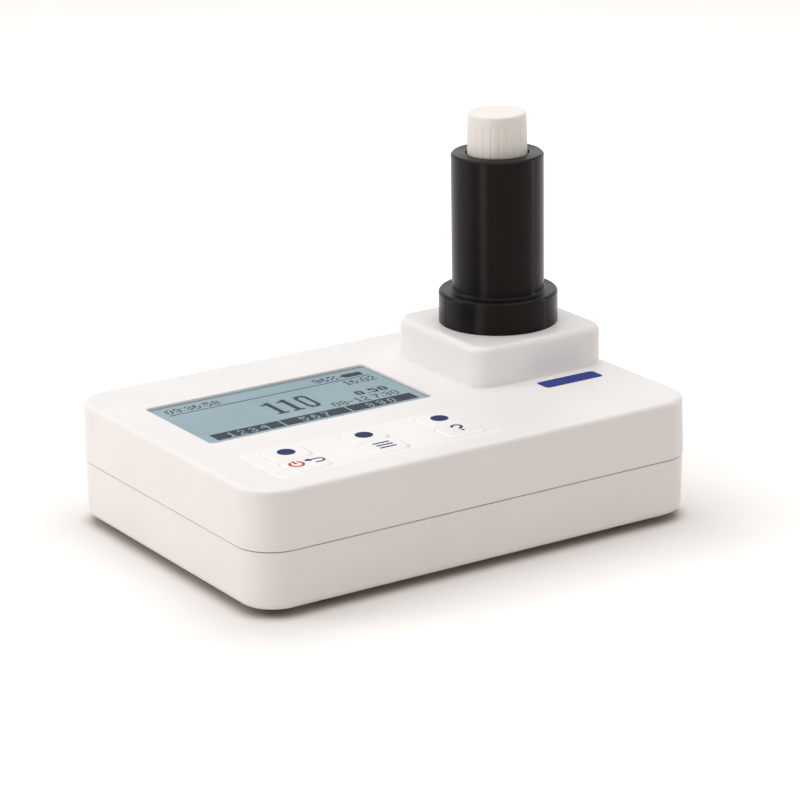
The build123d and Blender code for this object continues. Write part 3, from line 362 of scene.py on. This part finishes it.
# Contact strip: nickel plated spring steel, rolled, so it has fine lines and a warm gleam
def nickel_strip():
    return worked_metal(
        "contact_steel_nickel_rolled", "B7B3A8", "CBC7BC",
        roughness=0.25, line_mm=0.3, stretch=(8.0, 1.0, 1.0),
    )


# Detector can: drawn steel, gold-grey, with a soft gleam
def detector_can():
    return worked_metal("detector_steel_drawn", "B3AC9C", "C8C2B2", roughness=0.3, line_mm=0.3)


# Sockets: moulded nylon, ivory, with a dull gloss
def socket_nylon():
    return moulded_plastic(
        "socket_nylon_ivory", "D9D1BC", "E2DAC6", roughness=0.5, grain_mm=0.2, grain_depth_mm=0.004
    )


# Flat cables: laminated polyester ribbon, pale and smooth
def ribbon_polyester():
    return moulded_plastic(
        "ribbon_polyester_laminated", "D8D8D6", "E6E6E4", roughness=0.35, grain_mm=0.6, grain_depth_mm=0.003
    )


# Chips: epoxy, moulded, matt black
def chip_epoxy():
    return moulded_plastic(
        "chip_epoxy_moulded", "151516", "1D1D1E", roughness=0.6, grain_mm=0.15, grain_depth_mm=0.006
    )


# Light guide under the display: moulded acrylic, pale and milky
def light_guide_acrylic():
    return moulded_plastic(
        "light_guide_acrylic", "DCE4E6", "E8EEF0", roughness=0.3, grain_mm=0.8, grain_depth_mm=0.004
    )


# Display frame: moulded polycarbonate, grey and satin
def frame_polycarbonate():
    return moulded_plastic(
        "display_frame_polycarbonate", "73757A", "7F8186", roughness=0.5, grain_mm=0.3, grain_depth_mm=0.006
    )


# Cap liner: a moulded disc of soft silicone, pale and matt
def liner_silicone():
    return moulded_plastic(
        "liner_silicone_moulded", "DDD6CE", "E6E0D8", roughness=0.6, grain_mm=0.3, grain_depth_mm=0.006
    )


# Lens and beam splitter: polished optical glass, clear, with sharp gleams
def optic_glass():
    return clear_body("optic_glass_polished", "F4FAF8", ior=1.52, roughness=0.0, haze_mm=4.0)


# Interference filter: coated glass, which lets one colour through
def filter_glass():
    return clear_body("filter_glass_coated", "B5506E", ior=1.6, roughness=0.02, haze_mm=3.0)


# Lamp: cast epoxy, clear and almost colourless
def lamp_epoxy():
    return clear_body("lamp_epoxy_cast", "FAF8EE", ior=1.54, roughness=0.02, haze_mm=2.0)


# Vial: drawn borosilicate glass, clear, with long sharp gleams
def vial_borosilicate():
    return clear_body("vial_borosilicate_drawn", "F5FBFA", ior=1.47, roughness=0.0, haze_mm=8.0)


# Sample: water with a reagent's clear amber colour
def sample_amber():
    return clear_body("sample_liquid_amber", "F2C96A", ior=1.34, roughness=0.0, haze_mm=8.0)


def dress_nodes():
    """Gives every CAD node the material of the real piece."""
    case = white_case_abs()
    keys = white_key_abs()
    screw = zinc_screw()
    optics = optics_abs()
    board = board_resist()
    can = detector_can()
    foam = foam_black()
    rubber = foot_rubber()
    sleeve = battery_sleeve()
    ivory = socket_nylon()
    ribbon = ribbon_polyester()
    epoxy = chip_epoxy()
    clear_optic = optic_glass()
    plain = {
        "upper_case": case,
        "lower_case": case,
        "battery_cover": case,
        "case_seal": seam_elastomer(),
        "display_window": window_acrylic(),
        "display_glass": display_film(),
        "display_seal": foam_beige(),
        "well_seal": foam,
        "display_backlight": light_guide_acrylic(),
        "display_frame": frame_polycarbonate(),
        "keypad_panel": keys,
        "key_switches": nickel_strip(),
        "label_plate": printed_ink("label_polyester_navy_printed", "2F3D85", "354590"),
        "main_board": board,
        "optics_board": board,
        "lamp_board": board,
        "detector_board": board,
        "processor": epoxy,
        "buzzer": epoxy,
        "optical_block": optics,
        "lamp_holder": optics,
        "lens": clear_optic,
        "beam_splitter": clear_optic,
        "interference_filter": filter_glass(),
        "lamp": lamp_epoxy(),
        "sample_detector": can,
        "reference_detector": can,
        "cable_sockets": ivory,
        "detector_socket": ivory,
        "optics_cable": ribbon,
        "detector_cable": ribbon,
        "battery_contacts": nickel_strip(),
        "vial_adapter": black_adapter_acetal(),
        "vial_glass": vial_borosilicate(),
        "sample_liquid": sample_amber(),
        "cap_liner": liner_silicone(),
        "vial_cap": cap_polypropylene(),
    }
    for name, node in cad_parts.items():
        if "screws" in name:
            material = screw
        elif name.startswith("foot_"):
            material = rubber
        elif name.startswith("battery_cell"):
            material = sleeve
        elif name.endswith("_key") or name.startswith("soft_key"):
            material = keys
        else:
            material = plain[name]
        node.data.materials.clear()
        node.data.materials.append(material)


def finish_piece(name, mesh_builder, material, body):
    """Makes an object of a bmesh, with its place in its mesh, and lets it ride on a body."""
    mesh = bpy.data.meshes.new(name)
    mesh_builder.to_mesh(mesh)
    mesh_builder.free()
    mesh.materials.append(material)
    piece = bpy.data.objects.new(name, mesh)
    bpy.context.scene.collection.objects.link(piece)
    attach(piece, body)


# Display: a grid of nearly square cells, 128 by 64, that lie on the display film
CELL_COLUMNS = 128
CELL_ROWS = 64
CELL_PITCH_X = 0.5073 * MM
CELL_PITCH_Y = 0.5103 * MM
CELL_RISE = 0.02 * MM
GRID_LEFT = -55.34 * MM
GRID_TOP = 28.87 * MM
SMALL_DIGITS = {
    "0": ".##. #..# #..# #..# #..# #..# .##.",
    "1": "..#. .##. ..#. ..#. ..#. ..#. .###",
    "2": ".##. #..# ...# ..#. .#.. #... ####",
    "3": ".##. #..# ...# .##. ...# #..# .##.",
    "4": "..## .#.# #..# #### ...# ...# ...#",
    "5": "#### #... ###. ...# ...# #..# .##.",
    "6": ".##. #... ###. #..# #..# #..# .##.",
    "7": "#### ...# ..#. ..#. .#.. .#.. .#..",
    "8": ".##. #..# #..# .##. #..# #..# .##.",
    "9": ".##. #..# #..# .### ...# #..# .##.",
    ":": ". # . . . # .",
    ".": ". . . . . . #",
    "-": "... ... ... ### ... ... ...",
    "%": "##..# ##..# ...#. ..#.. .#... #..## #..##",
    " ": ". . . . . . .",
}


def light_text(cells, text, column, row, lit=True, bold=False):
    """Sets or clears the cells of a line of small digits, whose first cell is at column, row."""
    change_cell = cells.add if lit else cells.discard
    for sign in text:
        lines = SMALL_DIGITS[sign].split()
        for down, line in enumerate(lines):
            for across, dot in enumerate(line):
                if dot == "#":
                    for extra in range(2 if bold else 1):
                        change_cell((column + across + extra, row + down))
        column += len(lines[0]) + (2 if bold else 1)


def fill_cells(cells, left, top, right, bottom):
    """Sets the cells from left, top to right, bottom, both ends counted."""
    cells.update((c, r) for c in range(left, right + 1) for r in range(top, bottom + 1))


def clear_cells(cells, left, top, right, bottom):
    """Clears the cells from left, top to right, bottom, both ends counted."""
    cells.difference_update((c, r) for c in range(left, right + 1) for r in range(top, bottom + 1))


def large_one(cells, left, top):
    """A tall slab-footed one, 8 cells wide and 21 high."""
    fill_cells(cells, left + 3, top, left + 5, top + 20)
    fill_cells(cells, left, top + 2, left + 2, top + 3)
    fill_cells(cells, left + 1, top + 19, left + 7, top + 20)


def large_zero(cells, left, top):
    """A tall zero with cut corners, 8 cells wide and 21 high."""
    fill_cells(cells, left + 1, top, left + 6, top + 20)
    fill_cells(cells, left, top + 2, left + 7, top + 18)
    clear_cells(cells, left + 3, top + 2, left + 4, top + 18)
    clear_cells(cells, left + 2, top + 4, left + 2, top + 16)
    clear_cells(cells, left + 5, top + 4, left + 5, top + 16)


def display_pattern():
    """The lit cells: clock, charge, a large reading and a dark bar with three fields."""
    cells = set()
    light_text(cells, "09:36:58", 1, 4)
    light_text(cells, "96%", 95, 4)
    fill_cells(cells, 114, 5, 125, 10)
    fill_cells(cells, 112, 7, 113, 8)
    fill_cells(cells, 0, 13, 127, 13)
    light_text(cells, "16:02", 107, 16)
    large_one(cells, 49, 24)
    large_one(cells, 59, 24)
    large_zero(cells, 70, 24)
    light_text(cells, "0.50", 103, 35, bold=True)
    light_text(cells, "08-12 7:30", 82, 45)
    fill_cells(cells, 1, 54, 127, 63)
    clear_cells(cells, 43, 54, 43, 63)
    clear_cells(cells, 85, 54, 85, 63)
    light_text(cells, "1 2 3 4", 9, 56, lit=False)
    light_text(cells, "5 6 7", 55, 56, lit=False)
    light_text(cells, "8 9 0", 97, 56, lit=False)
    return cells


def build_display_cells():
    """Cuts the lit cells out of a grid and lays them on the display film."""
    cells = display_pattern()
    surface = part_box("display_glass")[1][2]
    half = (CELL_COLUMNS * CELL_PITCH_X / 2, CELL_ROWS * CELL_PITCH_Y / 2)
    middle = Vector((GRID_LEFT + half[0], GRID_TOP - half[1], surface + CELL_RISE / 2))
    bm = bmesh.new()
    bmesh.ops.create_grid(
        bm,
        x_segments=CELL_COLUMNS,
        y_segments=CELL_ROWS,
        size=1.0,
        matrix=Matrix.Translation(middle) @ Matrix.Diagonal((half[0], half[1], 1.0, 1.0)),
    )
    unlit = []
    for face in bm.faces:
        centre = face.calc_center_median()
        column = int((centre.x - GRID_LEFT) / CELL_PITCH_X)
        row = int((GRID_TOP - centre.y) / CELL_PITCH_Y)
        if (column, row) not in cells:
            unlit.append(face)
    bmesh.ops.delete(bm, geom=unlit, context="FACES")
    bmesh.ops.solidify(bm, geom=bm.faces[:], thickness=CELL_RISE)
    bmesh.ops.recalc_face_normals(bm, faces=bm.faces[:])
    finish_piece("display_cells", bm, display_cells(), "case")


# Printed signs: flat prints a little proud of the keys. Their places count from the middle of a key's face
PRINT_RISE = 0.03 * MM
ARROW_STROKE = 0.65 * MM
BEND_STROKE = 0.62 * MM
BOLD_STROKE = 0.75 * MM
DOT_PLACE = Vector((0.3 * MM, 0.5 * MM, 0.0))
DOT_RADIUS = 2.5 * MM
STANDBY_PLACE = Vector((-2.57 * MM, 0.32 * MM, 0.0))
STANDBY_RADIUS = 1.85 * MM
STANDBY_ARC = (120.0, 420.0)
STANDBY_BAR_RISE = 1.25 * MM
STANDBY_BAR_LENGTH = 2.4 * MM
RETURN_PLACE = Vector((4.35 * MM, 0.15 * MM, 0.0))
RETURN_RADIUS = 1.25 * MM
RETURN_UPPER_LENGTH = 4.25 * MM
RETURN_LOWER_LENGTH = 1.95 * MM
ARROW_LENGTH = 2.0 * MM
ARROW_HALF_WIDTH = 1.1 * MM
ARROW_OVERLAP = 0.5 * MM
MENU_PLACE = Vector((0.4 * MM, 0.35 * MM, 0.0))
MENU_BAR_LENGTH = 5.1 * MM
MENU_BAR_PITCH = 1.85 * MM
QUERY_PLACE = Vector((0.1 * MM, 1.75 * MM, 0.0))
QUERY_RADIUS = 1.35 * MM
QUERY_ARC = (180.0, -50.0)
QUERY_STEM_TOP = -1.6 * MM
QUERY_STEM_FOOT = -2.15 * MM
QUERY_STEM_OVERLAP = 0.25 * MM
QUERY_DOT_DROP = 3.1 * MM
QUERY_DOT_RADIUS = 0.5 * MM


def rightward(distance):
    """A run of a distance to the right."""
    return Vector((distance, 0.0, 0.0))


def upward(distance):
    """A run of a distance to the back, which is up on a key."""
    return Vector((0.0, distance, 0.0))


def add_bar(bm, middle, length, width, angle=0.0):
    """One straight stroke."""
    turn = Matrix.Rotation(math.radians(angle), 4, "Z")
    size = Matrix.Diagonal((length / 2, width / 2, 1.0, 1.0))
    bmesh.ops.create_grid(
        bm, x_segments=1, y_segments=1, size=1.0, matrix=Matrix.Translation(middle) @ turn @ size
    )


def add_stroke(bm, start, end, width):
    """One straight stroke from start to end."""
    run = end - start
    add_bar(bm, (start + end) / 2, run.length, width, math.degrees(math.atan2(run.y, run.x)))


def add_arrow_head(bm, tip, length, half_width):
    """A filled triangle that points to the left. It is one and a half times as long as its radius."""
    radius = length / 1.5
    size = Matrix.Diagonal((1.0, half_width / (radius * math.sin(math.radians(60.0))), 1.0, 1.0))
    turn = Matrix.Rotation(math.radians(90.0), 4, "Z")
    middle = tip + rightward(radius)
    bmesh.ops.create_circle(
        bm, cap_ends=True, segments=3, radius=radius, matrix=Matrix.Translation(middle) @ size @ turn
    )


def add_disc(bm, middle, radius, sides):
    """One filled disc."""
    bmesh.ops.create_circle(
        bm, cap_ends=True, segments=sides, radius=radius, matrix=Matrix.Translation(middle)
    )


def add_arc(bm, middle, radius, width, start, end, steps):
    """A curved stroke about middle, from the angle start to the angle end, in degrees."""
    ray = Vector((math.cos(math.radians(start)), math.sin(math.radians(start)), 0.0))
    ends = [bm.verts.new(middle + ray * (radius + side * width / 2)) for side in (-1, 1)]
    edge = bm.edges.new(ends)
    bmesh.ops.spin(
        bm,
        geom=ends + [edge],
        cent=middle,
        axis=(0.0, 0.0, 1.0),
        angle=math.radians(end - start),
        steps=steps,
        use_merge=False,
    )


def raise_print(bm):
    """Turns flat strokes into thin closed prints that stand on the plane of their faces."""
    bmesh.ops.remove_doubles(bm, verts=bm.verts[:], dist=0.001 * MM)
    bmesh.ops.recalc_face_normals(bm, faces=bm.faces[:])
    flipped = [face for face in bm.faces if face.normal.z < 0]
    bmesh.ops.reverse_faces(bm, faces=flipped)
    raised = bmesh.ops.extrude_face_region(bm, geom=bm.faces[:])
    tops = [item for item in raised["geom"] if isinstance(item, bmesh.types.BMVert)]
    bmesh.ops.translate(bm, verts=tops, vec=(0.0, 0.0, PRINT_RISE))
    bmesh.ops.recalc_face_normals(bm, faces=bm.faces[:])


def key_face(node):
    """The middle of a key's top face."""
    low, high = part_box(node)
    return Vector(((low[0] + high[0]) / 2, (low[1] + high[1]) / 2, high[2]))


def print_keys():
    """A dot on each upper key and a sign or two on each lower one."""
    navy = printed_ink("key_ink_navy_pad_printed", "2A3160", "303869")
    red = printed_ink("key_ink_red_pad_printed", "CF2230", "D92A36")
    for node in ("soft_key_left", "soft_key_centre", "soft_key_right"):
        bm = bmesh.new()
        add_disc(bm, key_face(node) + DOT_PLACE, DOT_RADIUS, sides=48)
        raise_print(bm)
        finish_piece(node + "_dot", bm, navy, node)
    print_power(red, navy)
    print_menu(navy)
    print_help(navy)


def print_power(red, navy):
    """Standby sign at the left of the key and a return arrow at its right."""
    face = key_face("power_key")
    middle = face + STANDBY_PLACE
    bm = bmesh.new()
    add_arc(bm, middle, STANDBY_RADIUS, BOLD_STROKE, *STANDBY_ARC, steps=36)
    add_bar(bm, middle + upward(STANDBY_BAR_RISE), STANDBY_BAR_LENGTH, BOLD_STROKE, angle=90.0)
    raise_print(bm)
    finish_piece("standby_sign", bm, red, "power_key")
    bend = face + RETURN_PLACE
    upper = bend + upward(RETURN_RADIUS)
    lower = bend - upward(RETURN_RADIUS)
    tip = upper - rightward(RETURN_UPPER_LENGTH)
    bm = bmesh.new()
    add_arc(bm, bend, RETURN_RADIUS, BEND_STROKE, -90.0, 90.0, steps=16)
    add_stroke(bm, upper, tip + rightward(ARROW_LENGTH - ARROW_OVERLAP), ARROW_STROKE)
    add_stroke(bm, lower, lower - rightward(RETURN_LOWER_LENGTH), ARROW_STROKE)
    add_arrow_head(bm, tip, ARROW_LENGTH, ARROW_HALF_WIDTH)
    raise_print(bm)
    finish_piece("return_sign", bm, navy, "power_key")


def print_menu(navy):
    """Three bars."""
    middle = key_face("menu_key") + MENU_PLACE
    bm = bmesh.new()
    for row in (-1, 0, 1):
        add_bar(bm, middle + upward(row * MENU_BAR_PITCH), MENU_BAR_LENGTH, BOLD_STROKE)
    raise_print(bm)
    finish_piece("menu_sign", bm, navy, "menu_key")


def print_help(navy):
    """A query sign: a hook, a short stem and a dot."""
    middle = key_face("help_key") + QUERY_PLACE
    hook_end = math.radians(QUERY_ARC[1])
    turn_end = middle + Vector((math.cos(hook_end), math.sin(hook_end), 0.0)) * QUERY_RADIUS
    stem_top = middle + upward(QUERY_STEM_TOP)
    stem_foot = middle + upward(QUERY_STEM_FOOT)
    bm = bmesh.new()
    add_arc(bm, middle, QUERY_RADIUS, BOLD_STROKE, *QUERY_ARC, steps=28)
    add_stroke(bm, turn_end, stem_top, BOLD_STROKE)
    add_stroke(bm, stem_top + upward(QUERY_STEM_OVERLAP), stem_foot, BOLD_STROKE)
    add_disc(bm, middle - upward(QUERY_DOT_DROP), QUERY_DOT_RADIUS, sides=20)
    raise_print(bm)
    finish_piece("query_sign", bm, navy, "help_key")


# Floor: its tones by the distance from the case's edge, as red, green, blue and alpha. The darkest tone,
# under and just round the case's edge, is a painted contact shadow
CASE_CORNER = 11.0 * MM
FLOOR_HALF = 4.0
FLOOR_FAR = (1.45, 1.44, 1.43, 1.0)
FLOOR_NEAR = (1.00, 0.985, 0.98, 1.0)
# Painted shadow: the dark tone that the floor shows under the case's edge
FLOOR_PAINTED_SHADOW = (0.46, 0.40, 0.36, 1.0)
FLOOR_BOUNCE = (0.84, 0.785, 0.75, 1.0)
NEAR_TO_FAR = (0.0, 75.0 * MM)
# The span over which the painted shadow under the case fades into the near tone
PAINTED_SHADOW_TO_NEAR = (-5.0 * MM, 3.0 * MM)

# Light: an even sky and four softboxes, each with its place, target, width, height and watts
SKY_COLOUR = "FAF1EA"
SKY_STRENGTH = 0.33
SOFTBOXES = {
    "key_softbox": ((0.08, 0.10, 1.0), (0.0, 0.0, 0.03), 1.1, 1.1, 7.3),
    "rear_softbox": ((-0.68, 0.46, 0.45), (0.0, 0.0, 0.03), 0.45, 0.35, 1.85),
    "left_softbox": ((-0.80, -0.30, 0.07), (0.0, 0.0, 0.06), 0.26, 0.12, 1.05),
    "right_softbox": ((0.80, -0.38, 0.18), (0.0, 0.0, 0.06), 0.09, 0.34, 0.72),
}


def seen_directly(tree):
    """1 where the camera, a mirror or clear glass looks, 0 for the light that falls on the object."""
    path = add_node(tree, "ShaderNodeLightPath")
    camera_or_mirror = {0: path.outputs["Is Camera Ray"], 1: path.outputs["Is Glossy Ray"]}
    mirrored = add_node(tree, "ShaderNodeMath", camera_or_mirror, operation="MAXIMUM")
    those_or_glass = {0: mirrored.outputs["Value"], 1: path.outputs["Is Transmission Ray"]}
    return add_node(tree, "ShaderNodeMath", those_or_glass, operation="MAXIMUM").outputs["Value"]


def reach_from_case(tree):
    """How far a place on the floor lies from the middle of the nearest corner's curve, in metres."""
    high = cad_bounds[1]
    half = (high[0] - CASE_CORNER, high[1] - CASE_CORNER, 0.0)
    place = add_node(tree, "ShaderNodeTexCoord").outputs["Object"]
    folded = add_node(tree, "ShaderNodeVectorMath", {0: place}, operation="ABSOLUTE")
    from_core = {0: folded.outputs["Vector"], 1: half}
    beyond = add_node(tree, "ShaderNodeVectorMath", from_core, operation="SUBTRACT")
    not_below_zero = {0: beyond.outputs["Vector"], 1: (0.0, 0.0, 0.0)}
    kept = add_node(tree, "ShaderNodeVectorMath", not_below_zero, operation="MAXIMUM")
    reach = add_node(tree, "ShaderNodeVectorMath", {0: kept.outputs["Vector"]}, operation="LENGTH")
    return reach.outputs["Value"]


def tone_between(tree, reach, span, near, far):
    """A floor tone that goes softly from near to far over a span of distances from the case's edge."""
    ends = {"Value": reach, "From Min": CASE_CORNER + span[0], "From Max": CASE_CORNER + span[1]}
    step = add_node(tree, "ShaderNodeMapRange", ends, interpolation_type="SMOOTHSTEP").outputs["Result"]
    return add_node(tree, "ShaderNodeMix", {0: step, 6: near, 7: far}, data_type="RGBA").outputs[2]


def build_floor():
    """A pale floor that shows white to the camera and keeps the object's shadow, with a contact shadow
    painted dark under the case's edge.
    """
    bm = bmesh.new()
    bmesh.ops.create_grid(bm, x_segments=1, y_segments=1, size=FLOOR_HALF)
    mesh = bpy.data.meshes.new("floor")
    bm.to_mesh(mesh)
    bm.free()
    floor = bpy.data.objects.new("floor", mesh)
    bpy.context.scene.collection.objects.link(floor)
    material = bpy.data.materials.new("floor_paper_matt")
    material.use_nodes = True
    tree = material.node_tree
    tree.nodes.clear()
    plain = add_node(tree, "ShaderNodeBsdfDiffuse", {"Color": FLOOR_BOUNCE})
    reach = reach_from_case(tree)
    around = tone_between(tree, reach, NEAR_TO_FAR, FLOOR_NEAR, FLOOR_FAR)
    # Painted contact shadow: the floor under and just round the case's edge is painted dark
    tone = tone_between(tree, reach, PAINTED_SHADOW_TO_NEAR, FLOOR_PAINTED_SHADOW, around)
    shown = add_node(tree, "ShaderNodeBsdfDiffuse", {"Color": tone})
    choice = {0: seen_directly(tree), 1: plain.outputs["BSDF"], 2: shown.outputs["BSDF"]}
    mixed = add_node(tree, "ShaderNodeMixShader", choice)
    output = add_node(tree, "ShaderNodeOutputMaterial")
    tree.links.new(mixed.outputs["Shader"], output.inputs["Surface"])
    mesh.materials.append(material)


def light_world():
    """An even pale sky. The camera, mirrors and clear glass see it as white."""
    world = bpy.data.worlds.new("studio")
    bpy.context.scene.world = world
    world.use_nodes = True
    tree = world.node_tree
    tree.nodes.clear()
    soft = add_node(tree, "ShaderNodeBackground", {"Color": linear(SKY_COLOUR), "Strength": SKY_STRENGTH})
    white = add_node(tree, "ShaderNodeBackground", {"Color": linear("FFFFFF"), "Strength": 1.0})
    choice = {0: seen_directly(tree), 1: soft.outputs["Background"], 2: white.outputs["Background"]}
    mixed = add_node(tree, "ShaderNodeMixShader", choice)
    output = add_node(tree, "ShaderNodeOutputWorld")
    tree.links.new(mixed.outputs["Shader"], output.inputs["Surface"])


def add_softbox(name, place, target, width, height, power):
    """A rectangular area light at place that looks at target."""
    lamp = bpy.data.lights.new(name, "AREA")
    lamp.shape = "RECTANGLE"
    lamp.size = width
    lamp.size_y = height
    lamp.energy = power
    softbox = bpy.data.objects.new(name, lamp)
    bpy.context.scene.collection.objects.link(softbox)
    turn = (Vector(target) - Vector(place)).to_track_quat("-Z", "Y").to_matrix().to_4x4()
    softbox.matrix_world = Matrix.Translation(place) @ turn


def light_studio():
    """The sky and the softboxes."""
    light_world()
    for name, (place, target, width, height, power) in SOFTBOXES.items():
        add_softbox(name, place, target, width, height, power)


aim_camera()
dress_nodes()
build_display_cells()
print_keys()
build_floor()
light_studio()
bpy.context.scene.view_settings.view_transform = "Standard"
